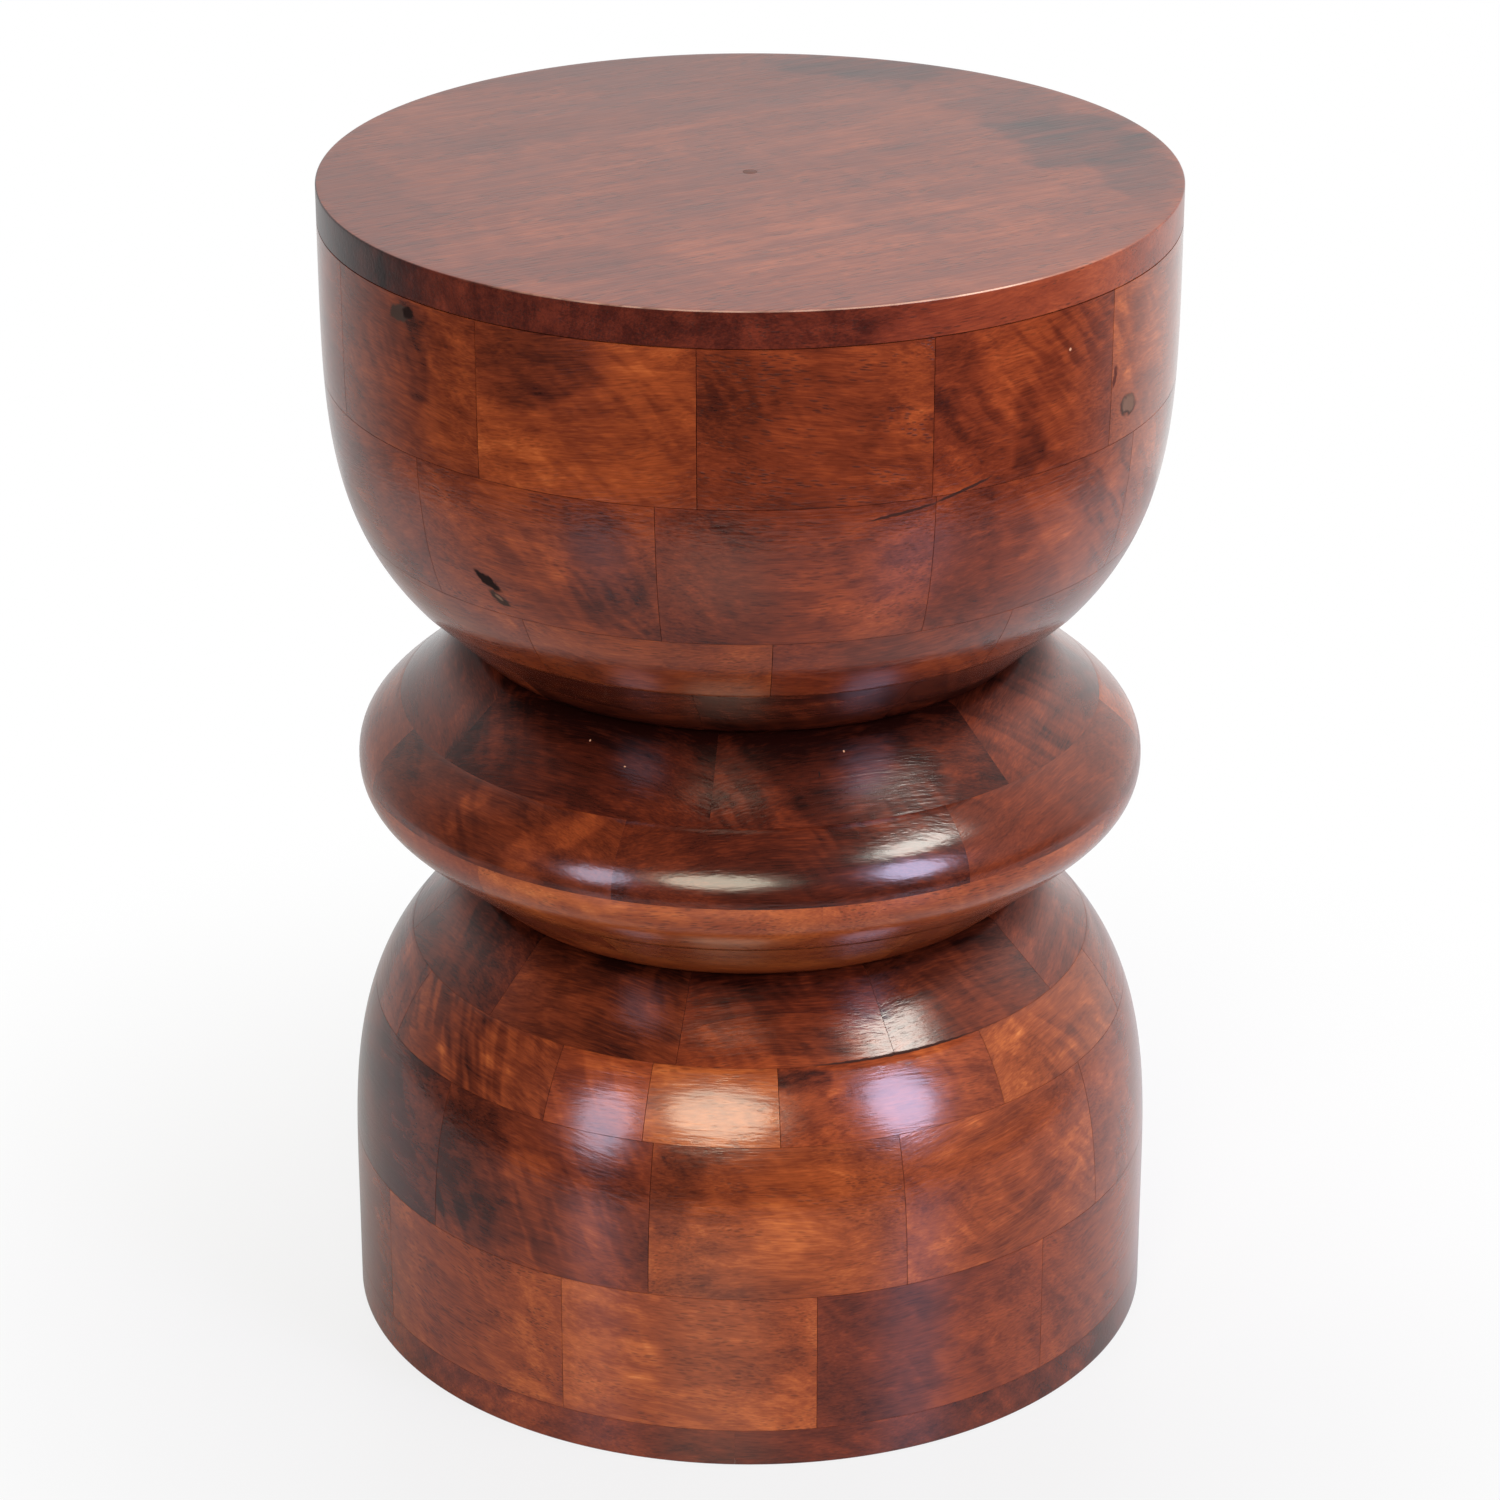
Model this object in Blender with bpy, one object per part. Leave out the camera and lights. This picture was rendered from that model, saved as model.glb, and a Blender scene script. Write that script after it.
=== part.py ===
"""A turned wooden stool, brick-laid from stained hardwood blocks.

Level courses of blocks are glued up between a seat disc and two base boards, then turned to one
profile: a bell, a bead between two V necks, and a bowl. The tall courses are rings of separate
wedge blocks around a hollow; the low courses at the waist are solid glued discs, and dowels join
the three turned sections at the necks. Metres, +Z up, origin on the floor under the centre.
"""

import math
from collections import namedtuple

import bmesh
import bpy
import numpy as np
from mathutils import Matrix, Vector
from mathutils.geometry import interpolate_bezier

# Radii of the turned profile
SEAT_RADIUS = 0.150
FOOT_RADIUS = 0.1472
NECK_RADIUS = 0.0985
DRUM_SHOULDER_RADIUS = 0.124
BEAD_SHOULDER_RADIUS = 0.126
BEAD_RADIUS = 0.1416

# Heights of the courses from the floor up, each with the glue line below it
BASE_RISE = 0.014
FOOT_RISE = 0.053
BELL_RISE = 0.055
BELL_SHOULDER_RISE = 0.0235
LOWER_NECK_RISE = 0.0235
BEAD_RISE = 0.023
UPPER_NECK_RISE = 0.0245
BOWL_SHOULDER_RISE = 0.0255
BOWL_RISE = 0.051
RIM_RISE = 0.055
SEAT_RISE = 0.013
BEAD_DISCS = 4

# Sweeps of the bell and the bowl from their shoulders to their upright walls, and of the bead's nose
SWEEP_ANGLE = math.radians(41.0)
BELL_SWEEP = 0.100
BELL_WALL_PULL = 0.0365
BELL_SHOULDER_PULL = 0.0354
BOWL_SWEEP = 0.118
BOWL_WALL_PULL = 0.054
BOWL_SHOULDER_PULL = 0.0396
NOSE_PULL = 0.011
NOSE_SHOULDER_PULL = 0.0114

# Blocks of the tall courses, with one joint's angle from the front, plus to the right
WALL = 0.041
RIM_BLOCKS = 12
DRUM_BLOCKS = 10
RIM_JOINT = math.radians(-6.6)
BOWL_JOINT = math.radians(-12.0)
BELL_JOINT = math.radians(-14.0)
FOOT_JOINT = math.radians(9.2)
BASE_JOINT_OFFSET = -0.0054

# Joints, dowels and small features
GLUE_LINE = 0.0003
EASED_EDGE = 0.001
DOWELS = 3
DOWEL_RADIUS = 0.006
DOWEL_LENGTH = 0.030
DOWEL_CIRCLE = 0.060
DOWEL_CHAMFER = 0.001
DOWEL_END_ROOM = 0.001
PLUG_RADIUS = 0.0025
PLUG_DEPTH = 0.008

# Facets
FACETS_AROUND = 72
DOWEL_FACETS = 12
SWEEP_POINTS = 200
CURVED_STEPS = 5
STRAIGHT_STEPS = 2
CONE_STEPS = 1
EDGE_STEPS = 2

# Stain colours, linear RGB
STAIN_TONES = (
    (0.155, 0.042, 0.022),
    (0.115, 0.030, 0.018),
    (0.190, 0.056, 0.026),
    (0.085, 0.023, 0.015),
    (0.135, 0.040, 0.024),
)
SEAT_TONE = (0.165, 0.062, 0.042)
RAW_WOOD_TONE = (0.42, 0.26, 0.13)
FILLER_TONE = (0.020, 0.011, 0.008)
LACQUER_ROUGHNESS = 0.30
RAW_ROUGHNESS = 0.70

FRONT = -math.pi / 2
ROUND = 0.5
Z_AXIS = Vector((0.0, 0.0, 1.0))
Span = namedtuple("Span", "low high")


def stack_courses():
    """Floor-to-top spans of the courses. The glue line under each course is left out of its span."""
    rises = [("base", BASE_RISE), ("foot", FOOT_RISE), ("bell", BELL_RISE),
             ("bell_shoulder", BELL_SHOULDER_RISE), ("lower_neck", LOWER_NECK_RISE)]
    rises += [(f"bead_{i + 1}", BEAD_RISE) for i in range(BEAD_DISCS)]
    rises += [("upper_neck", UPPER_NECK_RISE), ("bowl_shoulder", BOWL_SHOULDER_RISE),
              ("bowl", BOWL_RISE), ("rim", RIM_RISE), ("seat", SEAT_RISE)]
    spans = {}
    level = 0.0
    for name, rise in rises:
        glue = GLUE_LINE if level else 0.0
        spans[name] = Span(level + glue, level + rise)
        level += rise
    return spans


COURSES = stack_courses()
SEAT_TOP = COURSES["seat"].high
LOWER_NECK = COURSES["lower_neck"].high
UPPER_NECK = COURSES[f"bead_{BEAD_DISCS}"].high


def drum_sweep(shoulder, outward, wall_radius, sweep, wall_pull, shoulder_pull):
    """Points from a drum's shoulder to the foot of its upright wall, in (radius, height)."""
    start = Vector((DRUM_SHOULDER_RADIUS, shoulder))
    end = Vector((wall_radius, shoulder + outward * sweep))
    leaving = Vector((math.sin(SWEEP_ANGLE), outward * math.cos(SWEEP_ANGLE)))
    upright = Vector((0.0, outward))
    return interpolate_bezier(start, start + leaving * shoulder_pull, end - upright * wall_pull, end,
                              SWEEP_POINTS)


def nose_sweep(neck, shoulder, outward):
    """Points from the end of the bead's straight flank to the middle of its nose."""
    start = Vector((BEAD_SHOULDER_RADIUS, shoulder))
    flank = (start - Vector((NECK_RADIUS, neck))).normalized()
    nose = Vector((BEAD_RADIUS, (LOWER_NECK + UPPER_NECK) / 2))
    upright = Vector((0.0, outward))
    return interpolate_bezier(start, start + flank * NOSE_SHOULDER_PULL, nose - upright * NOSE_PULL, nose,
                              SWEEP_POINTS)


def turned_profile():
    """The whole outline as (radius, height) points from the floor to the seat's top."""
    bell = drum_sweep(COURSES["bell_shoulder"].high, -1, FOOT_RADIUS,
                      BELL_SWEEP, BELL_WALL_PULL, BELL_SHOULDER_PULL)
    bowl = drum_sweep(COURSES["upper_neck"].high, 1, SEAT_RADIUS,
                      BOWL_SWEEP, BOWL_WALL_PULL, BOWL_SHOULDER_PULL)
    bead_below = nose_sweep(LOWER_NECK, COURSES["bead_1"].high, 1)
    bead_above = nose_sweep(UPPER_NECK, COURSES[f"bead_{BEAD_DISCS - 1}"].high, -1)
    floor = Vector((FOOT_RADIUS, 0.0))
    lower_neck = Vector((NECK_RADIUS, LOWER_NECK))
    upper_neck = Vector((NECK_RADIUS, UPPER_NECK))
    top = Vector((SEAT_RADIUS, SEAT_TOP))
    return [floor, *reversed(bell), lower_neck, *bead_below, *reversed(bead_above), upper_neck, *bowl, top]


PROFILE = turned_profile()
PROFILE_HEIGHTS = [p.y for p in PROFILE]
PROFILE_RADII = [p.x for p in PROFILE]


def outline(span, steps):
    """Points of the turned outline across one course, in the XZ plane, from its low to its high face."""
    heights = np.linspace(span.low, span.high, steps + 1)
    radii = np.interp(heights, PROFILE_HEIGHTS, PROFILE_RADII)
    return [Vector((r, 0.0, z)) for r, z in zip(radii, heights)]


def stain(name, tone, roughness=LACQUER_ROUGHNESS):
    material = bpy.data.materials.new(name)
    material.use_nodes = True
    shader = material.node_tree.nodes["Principled BSDF"]
    shader.inputs["Base Color"].default_value = (*tone, 1.0)
    shader.inputs["Roughness"].default_value = roughness
    shader.inputs["Metallic"].default_value = 0.0
    return material


def place(name, bm, tone, roughness=LACQUER_ROUGHNESS):
    """Closes a shape's normals and makes it a named object with its own finish."""
    bmesh.ops.recalc_face_normals(bm, faces=bm.faces)
    mesh = bpy.data.meshes.new(name)
    bm.to_mesh(mesh)
    bm.free()
    mesh.shade_smooth()
    mesh.set_sharp_from_angle(angle=math.radians(30))
    mesh.materials.append(stain(f"{name}_finish", tone, roughness))
    piece = bpy.data.objects.new(name, mesh)
    bpy.context.scene.collection.objects.link(piece)
    return piece


def turned_disc(span, steps):
    """A solid course: the outline spun around the axis, with flat faces below and above."""
    bm = bmesh.new()
    points = [bm.verts.new(p) for p in outline(span, steps)]
    edges = [bm.edges.new(pair) for pair in zip(points, points[1:])]
    bmesh.ops.spin(bm, geom=points + edges, cent=(0, 0, 0), axis=Z_AXIS,
                   angle=2 * math.pi, steps=FACETS_AROUND, use_merge=True)
    bmesh.ops.holes_fill(bm, edges=bm.edges)
    return bm


def ease_edge(bm, height):
    """Rounds the outer edge of a disc's flat face at the given height."""
    rim = [e for e in bm.edges
           if all(math.isclose(v.co.z, height, abs_tol=GLUE_LINE / 2) for v in e.verts)]
    bmesh.ops.bevel(bm, geom=rim, offset=EASED_EDGE, offset_type="OFFSET", affect="EDGES",
                    segments=EDGE_STEPS, profile=ROUND, material=-1)


def wedge_block(span, steps, start, pitch, inner_face):
    """One block of a ring: radial joint faces, a turned outer face and a flat sawn inner face."""
    half_joint = math.asin(GLUE_LINE / 2 / inner_face)
    sweep = pitch - 2 * half_joint
    sawn_off = inner_face * math.cos(pitch / 2)

    bm = bmesh.new()
    curve = outline(span, steps)
    back = [Vector((sawn_off, 0.0, span.high)), Vector((sawn_off, 0.0, span.low))]
    section = bm.faces.new([bm.verts.new(p) for p in curve + back])
    facets = max(1, round(pitch / (2 * math.pi) * FACETS_AROUND))
    bmesh.ops.spin(bm, geom=[section, *section.edges, *section.verts], cent=(0, 0, 0), axis=Z_AXIS,
                   angle=sweep, steps=facets)
    facing = Vector((math.cos(sweep / 2), math.sin(sweep / 2), 0.0))
    bmesh.ops.bisect_plane(bm, geom=[*bm.verts, *bm.edges, *bm.faces], plane_co=facing * inner_face,
                           plane_no=facing, clear_inner=True)
    bmesh.ops.holes_fill(bm, edges=bm.edges)
    bmesh.ops.rotate(bm, verts=bm.verts, cent=(0, 0, 0),
                     matrix=Matrix.Rotation(start + half_joint, 3, Z_AXIS))
    return bm


def block_ring(name, span, steps, count, joint, drum_radius):
    """A course of separate wedge blocks, with a joint at the given angle from the front."""
    pitch = 2 * math.pi / count
    for i in range(count):
        bm = wedge_block(span, steps, FRONT + joint + i * pitch, pitch, drum_radius - WALL)
        place(f"{name}_{i + 1:02d}", bm, STAIN_TONES[i % len(STAIN_TONES)])


def base_board(name, side, tone):
    """Half of the base, on one side of the straight joint that runs from front to back."""
    span = COURSES["base"]
    bm = turned_disc(span, STRAIGHT_STEPS)
    ease_edge(bm, span.low)
    edge = Vector((BASE_JOINT_OFFSET + side * GLUE_LINE / 2, 0.0, 0.0))
    bmesh.ops.bisect_plane(bm, geom=[*bm.verts, *bm.edges, *bm.faces], plane_co=edge,
                           plane_no=(side, 0.0, 0.0), clear_inner=True)
    bmesh.ops.holes_fill(bm, edges=bm.edges)
    place(name, bm, tone)


def round_rod(radius, length, centre, bm=None):
    """A plain upright cylinder around the given centre, alone or added to a shape."""
    bm = bm or bmesh.new()
    bmesh.ops.create_cone(bm, cap_ends=True, segments=DOWEL_FACETS, radius1=radius, radius2=radius,
                          depth=length, matrix=Matrix.Translation(centre))
    return bm


def dowel_centres(neck):
    """Places of the dowels of one neck, spread evenly on their circle."""
    turns = [FRONT + 2 * math.pi * i / DOWELS for i in range(DOWELS)]
    return [Vector((DOWEL_CIRCLE * math.cos(a), DOWEL_CIRCLE * math.sin(a), neck)) for a in turns]


def dowel(name, centre):
    bm = round_rod(DOWEL_RADIUS, DOWEL_LENGTH, centre)
    ends = [e for e in bm.edges if abs(e.verts[0].co.z - e.verts[1].co.z) < DOWEL_CHAMFER]
    bmesh.ops.bevel(bm, geom=ends, offset=DOWEL_CHAMFER, offset_type="OFFSET", affect="EDGES",
                    segments=1, profile=ROUND, material=-1)
    place(name, bm, RAW_WOOD_TONE, RAW_ROUGHNESS)


def drill(pieces, cutter):
    """Cuts the cutter's holes out of the pieces and leaves the cutter as a hidden guide."""
    cutter.hide_render = True
    cutter.display_type = "WIRE"
    for piece in pieces:
        hole = piece.modifiers.new(cutter.name, "BOOLEAN")
        hole.operation = "DIFFERENCE"
        hole.object = cutter


def dowel_joint(name, neck, pieces):
    """Dowels across one neck, in holes drilled into the discs below and above it."""
    holes = bmesh.new()
    for i, centre in enumerate(dowel_centres(neck)):
        dowel(f"{name}_dowel_{i + 1}", centre)
        round_rod(DOWEL_RADIUS + GLUE_LINE, DOWEL_LENGTH + 2 * DOWEL_END_ROOM, centre, holes)
    drill(pieces, place(f"{name}_dowel_holes", holes, RAW_WOOD_TONE))


def seat():
    """The seat disc, with the lathe's centre hole filled by a small plug level with the top."""
    span = COURSES["seat"]
    bm = turned_disc(span, STRAIGHT_STEPS)
    ease_edge(bm, span.high)
    disc = place("seat_disc", bm, SEAT_TONE)
    plug = round_rod(PLUG_RADIUS, PLUG_DEPTH, Vector((0.0, 0.0, span.high - PLUG_DEPTH / 2)))
    place("seat_centre_plug", plug, FILLER_TONE, RAW_ROUGHNESS)
    hole_depth = 2 * (PLUG_DEPTH + GLUE_LINE)
    hole = round_rod(PLUG_RADIUS + GLUE_LINE, hole_depth, Vector((0.0, 0.0, span.high)))
    drill([disc], place("seat_centre_hole", hole, FILLER_TONE))


def low_courses():
    """The solid discs at the waist, and the dowels that join the three turned sections."""
    names = ["bell_shoulder", "lower_neck"]
    names += [f"bead_{i + 1}" for i in range(BEAD_DISCS)]
    names += ["upper_neck", "bowl_shoulder"]
    below_necks = ["lower_neck", f"bead_{BEAD_DISCS}"]
    above_necks = ["bead_1", "upper_neck"]
    discs = {}
    for i, name in enumerate(names):
        steps = CONE_STEPS if name in below_necks + above_necks else CURVED_STEPS
        tone = STAIN_TONES[i % len(STAIN_TONES)]
        discs[name] = place(f"{name}_disc", turned_disc(COURSES[name], steps), tone)
    necks = (("lower", LOWER_NECK), ("upper", UPPER_NECK))
    for (side, neck), below, above in zip(necks, below_necks, above_necks):
        dowel_joint(side, neck, [discs[below], discs[above]])


def build():
    for leftover in list(bpy.data.objects):
        bpy.data.objects.remove(leftover, do_unlink=True)
    base_board("base_board_left", -1, STAIN_TONES[0])
    base_board("base_board_right", 1, STAIN_TONES[1])
    block_ring("foot_block", COURSES["foot"], STRAIGHT_STEPS, DRUM_BLOCKS, FOOT_JOINT, FOOT_RADIUS)
    block_ring("bell_block", COURSES["bell"], CURVED_STEPS, DRUM_BLOCKS, BELL_JOINT, FOOT_RADIUS)
    low_courses()
    block_ring("bowl_block", COURSES["bowl"], CURVED_STEPS, DRUM_BLOCKS, BOWL_JOINT, SEAT_RADIUS)
    block_ring("rim_block", COURSES["rim"], STRAIGHT_STEPS, RIM_BLOCKS, RIM_JOINT, SEAT_RADIUS)
    seat()


build()
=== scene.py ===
import math
import random
from collections import namedtuple

import bmesh
import bpy
import numpy as np
from mathutils import Matrix, Vector, noise
from mathutils.geometry import interpolate_bezier


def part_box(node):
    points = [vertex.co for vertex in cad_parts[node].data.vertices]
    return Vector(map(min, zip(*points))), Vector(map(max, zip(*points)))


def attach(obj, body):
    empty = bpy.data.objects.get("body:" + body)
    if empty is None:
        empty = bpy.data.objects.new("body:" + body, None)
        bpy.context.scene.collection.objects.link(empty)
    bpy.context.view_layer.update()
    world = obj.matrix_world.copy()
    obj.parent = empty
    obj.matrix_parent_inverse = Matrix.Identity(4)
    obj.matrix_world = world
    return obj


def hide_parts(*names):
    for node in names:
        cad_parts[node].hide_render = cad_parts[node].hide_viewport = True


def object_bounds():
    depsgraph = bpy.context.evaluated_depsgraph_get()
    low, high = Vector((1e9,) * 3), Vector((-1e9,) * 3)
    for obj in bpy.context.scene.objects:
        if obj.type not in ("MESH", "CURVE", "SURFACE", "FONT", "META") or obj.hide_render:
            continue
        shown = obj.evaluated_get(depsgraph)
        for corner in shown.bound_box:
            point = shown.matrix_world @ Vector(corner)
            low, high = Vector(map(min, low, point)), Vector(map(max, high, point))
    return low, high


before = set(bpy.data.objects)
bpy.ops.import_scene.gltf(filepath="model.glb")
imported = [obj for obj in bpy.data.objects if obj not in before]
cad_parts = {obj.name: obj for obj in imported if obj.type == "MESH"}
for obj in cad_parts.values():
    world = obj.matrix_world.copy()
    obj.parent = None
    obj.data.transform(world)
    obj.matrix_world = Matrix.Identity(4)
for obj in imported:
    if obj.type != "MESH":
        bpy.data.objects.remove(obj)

SOLID_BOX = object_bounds()

# Sweeps of the turned outline, as in the solids: lengths along the axis and pulls of the curves
SWEEP_ANGLE = math.radians(41.0)
BELL_SWEEP = 0.100
BELL_WALL_PULL = 0.0365
BELL_SHOULDER_PULL = 0.0354
BOWL_SWEEP = 0.118
BOWL_WALL_PULL = 0.054
BOWL_SHOULDER_PULL = 0.0396
NOSE_PULL = 0.011
NOSE_SHOULDER_PULL = 0.0114
SWEEP_POINTS = 300

# Blocks, their joints and eased edges
TALL_WALL = 0.041
LOW_INNER_FACE = 0.072
PLY_FACE = 0.109
GLUE_LINE = 0.0003
SEEN_JOINT = 0.00012
BASE_JOINT = 0.00002
EASED_EDGE = 0.00007
SEAT_EDGE = 0.0006

# How finely the shapes are turned
LEVEL_STEP = 0.0016
FACET_ANGLE = math.radians(0.9)
FULL_TURN = 2 * math.pi
CORNER_POINTS = 7
UPRIGHT_POINTS = 8
SEAT_RINGS = 72
SHARP = math.radians(30)
ROUND = 0.5

# Dowels and their blind holes
BORE_RADIUS = 0.0063
BORE_DEPTH = 0.016
DOWEL_SIDES = 32
DOWEL_BEVEL = 0.001

# Each V neck ends in a narrow groove; the wood near it is darkened as painted shade, and the lacquer there is
# dull
NECK_GROOVE = 0.004
NECK_GROOVE_HALF = 0.0015
# Painted shade at the necks: how much darker at the crease, and how far it reaches
NECK_PAINTED_SHADE = 0.24
NECK_PAINTED_SHADE_REACH = 0.010
NECK_DULL = 0.85
NECK_DULL_FROM = 0.0028
NECK_DULL_TO = 0.014

FRONT = -math.pi / 2
X_AXIS = Vector((1.0, 0.0, 0.0))
Z_AXIS = Vector((0.0, 0.0, 1.0))

# What is drawn by chance comes out the same in every run
CHANCE_SEED = 20
draws = random.Random(CHANCE_SEED)
noise.seed_set(CHANCE_SEED)

# Rings of blocks: the disc that a low course stands for, the slot, the number of blocks, one joint in degrees
# from the front, plus to the right, and how clearly the joints show
Ring = namedtuple("Ring", "name node slot blocks joint line")
RINGS = (
    Ring("rim_block", None, "rim_wood", 12, -6.6, 0.85),
    Ring("bowl_block", None, "bowl_wood", 10, -12.0, 0.7),
    Ring("bowl_shoulder_block", "bowl_shoulder_disc", "bowl_wood", 10, 3.1, 0.6),
    Ring("upper_neck_block", "upper_neck_disc", "bowl_wood", 10, 27.0, 0.4),
    Ring("bead_4_block", "bead_4_disc", "bead_wood", 7, -6.3, 0.08),
    Ring("bead_3_block", "bead_3_disc", "bead_wood", 7, 32.0, 0.08),
    Ring("bead_2_block", "bead_2_disc", "bead_wood", 7, 10.0, 0.08),
    Ring("bead_1_block", "bead_1_disc", "bead_wood", 7, -24.0, 0.5),
    Ring("lower_neck_block", "lower_neck_disc", "bell_wood", 10, -12.0, 0.5),
    Ring("bell_shoulder_block", "bell_shoulder_disc", "bell_wood", 10, 4.4, 0.6),
    Ring("bell_block", None, "bell_wood", 10, -14.0, 0.75),
    Ring("foot_block", None, "foot_wood", 10, 9.2, 0.6),
)
EXTRA_JOINTS = {"bell_shoulder_block": 344.3}
TWO_PLY = "lower_neck_block_01"

Span = namedtuple("Span", "low high")


def span_of(node):
    low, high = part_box(node)
    return Span(low.z, high.z)


def centre_of(span):
    return (span.low + span.high) / 2


def closed_up(span, joint):
    """A course's span with the glue line below it drawn as thin as it looks."""
    return Span(span.low - (GLUE_LINE - joint), span.high)


def ring_pitch(ring):
    return FULL_TURN / ring.blocks


def ring_start(ring, number):
    return FRONT + math.radians(ring.joint) + (number - 1) * ring_pitch(ring)


def reach(node, height):
    """Radius of a solid's outer face at one of its own levels."""
    corners = [v.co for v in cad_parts[node].data.vertices]
    return max(math.hypot(c.x, c.y) for c in corners if abs(c.z - height) < GLUE_LINE / 2)


def upper_corner(node):
    high = span_of(node).high
    return Vector((reach(node, high), high))


def drum_sweep(shoulder, outward, wall_radius, sweep, wall_pull, shoulder_pull):
    """Points from a drum's shoulder to the foot of its upright wall, in (radius, height)."""
    end = Vector((wall_radius, shoulder.y + outward * sweep))
    leaving = Vector((math.sin(SWEEP_ANGLE), outward * math.cos(SWEEP_ANGLE)))
    upright = Vector((0.0, outward))
    return interpolate_bezier(shoulder, shoulder + leaving * shoulder_pull, end - upright * wall_pull, end,
                              SWEEP_POINTS)


def nose_sweep(neck, shoulder, nose, outward):
    """Points from the end of the bead's straight flank to the middle of its nose."""
    flank = (shoulder - neck).normalized()
    upright = Vector((0.0, outward))
    return interpolate_bezier(shoulder, shoulder + flank * NOSE_SHOULDER_PULL, nose - upright * NOSE_PULL, nose,
                              SWEEP_POINTS)


def groove_lip(shoulder, neck):
    """The point of a straight flank where the narrow groove of its neck begins."""
    share = NECK_GROOVE_HALF / abs(shoulder.y - neck.y)
    return neck.lerp(shoulder, share)


def turned_outline():
    """The whole outline as (radius, height) points from the floor to the seat's top."""
    foot = reach("foot_block_01", span_of("foot_block_01").low)
    lower_neck, upper_neck = upper_corner("lower_neck_disc"), upper_corner("bead_4_disc")
    nose = upper_corner("bead_2_disc")
    seat_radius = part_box("seat_disc")[1].x
    bell = drum_sweep(upper_corner("bell_shoulder_disc"), -1, foot, BELL_SWEEP, BELL_WALL_PULL,
                      BELL_SHOULDER_PULL)
    bowl = drum_sweep(upper_corner("upper_neck_disc"), 1, seat_radius, BOWL_SWEEP, BOWL_WALL_PULL,
                      BOWL_SHOULDER_PULL)
    bead_below = nose_sweep(lower_neck, upper_corner("bead_1_disc"), nose, 1)
    bead_above = nose_sweep(upper_neck, upper_corner("bead_3_disc"), nose, -1)
    groove = Vector((NECK_GROOVE, 0.0))
    return [Vector((foot, 0.0)), *reversed(bell), groove_lip(bell[0], lower_neck), lower_neck - groove,
            groove_lip(bead_below[0], lower_neck), *bead_below, *reversed(bead_above),
            groove_lip(bead_above[0], upper_neck), upper_neck - groove, groove_lip(bowl[0], upper_neck),
            *bowl, Vector((seat_radius, span_of("seat_disc").high))]


OUTLINE = turned_outline()
OUTLINE_HEIGHTS = [p.y for p in OUTLINE]
OUTLINE_RADII = [p.x for p in OUTLINE]
NECKS = [upper_corner(node).y for node in ("lower_neck_disc", "bead_4_disc")]
SEAT_RADIUS = OUTLINE_RADII[-1]
FOOT_RADIUS = OUTLINE_RADII[0]


def outer_curve(span):
    """Fine points of the turned outline across one course, from its low to its high face."""
    heights = np.linspace(span.low, span.high, round((span.high - span.low) / LEVEL_STEP) + 1)
    radii = np.interp(heights, OUTLINE_HEIGHTS, OUTLINE_RADII)
    return [Vector((r, 0.0, z)) for r, z in zip(radii, heights)]


def ease_outer_edges(bm, inside, line):
    """Breaks the sharp outer edges of a block and marks the narrow faces that line its joints."""
    lined = bm.faces.layers.float.new("joint")
    sharp = [e for e in bm.edges if e.calc_face_angle(0.0) > SHARP
             and all(v.co.xy.length > inside for v in e.verts)]
    eased = bmesh.ops.bevel(bm, geom=sharp, offset=EASED_EDGE * line, offset_type="OFFSET", affect="EDGES",
                            segments=1, profile=ROUND, material=-1, clamp_overlap=True)
    for face in eased["faces"]:
        face[lined] = line


def keep_beyond(bm, facing, distance, side):
    """Saws a shape by an upright plane and keeps one side of it."""
    bmesh.ops.bisect_plane(bm, geom=[*bm.verts, *bm.edges, *bm.faces], plane_co=facing * distance,
                           plane_no=facing * side, clear_inner=True)
    bmesh.ops.holes_fill(bm, edges=bm.edges)


def wedge(span, start, pitch, joint, facing, inner_face):
    """One block of a ring: radial joint faces, a finely turned outer face and a flat sawn inner face."""
    half_joint = math.asin(joint / 2 / inner_face)
    sweep = pitch - 2 * half_joint
    sawn_off = inner_face * math.cos(pitch / 2)
    bm = bmesh.new()
    back = [Vector((sawn_off, 0.0, span.high)), Vector((sawn_off, 0.0, span.low))]
    section = bm.faces.new([bm.verts.new(p) for p in outer_curve(span) + back])
    bmesh.ops.rotate(bm, verts=bm.verts, cent=(0, 0, 0), matrix=Matrix.Rotation(start + half_joint, 3, Z_AXIS))
    bmesh.ops.spin(bm, geom=[section, *section.edges, *section.verts], cent=(0, 0, 0), axis=Z_AXIS,
                   angle=sweep, steps=math.ceil(sweep / FACET_ANGLE))
    keep_beyond(bm, facing, inner_face, 1)
    return bm


def turned_disc(points, steps=round(FULL_TURN / FACET_ANGLE)):
    """An outline from the axis out and back to the axis, spun into a closed disc."""
    bm = bmesh.new()
    verts = [bm.verts.new(p) for p in points]
    edges = [bm.edges.new(pair) for pair in zip(verts, verts[1:])]
    bmesh.ops.spin(bm, geom=verts + edges, cent=(0, 0, 0), axis=Z_AXIS, angle=FULL_TURN, steps=steps,
                   use_merge=True)
    bmesh.ops.remove_doubles(bm, verts=bm.verts, dist=GLUE_LINE / 10)
    return bm


def rounded_corner(radius, height, easing, outward):
    """Points of a quarter round at the outer edge of a disc."""
    turns = np.linspace(0, math.pi / 2, CORNER_POINTS)
    return [Vector((radius - easing + easing * math.cos(t), 0.0, height + outward * easing * (math.sin(t) - 1)))
            for t in turns]


def upright_line(radius, low, high):
    return [Vector((radius, 0.0, z)) for z in np.linspace(low, high, UPRIGHT_POINTS)]


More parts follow.
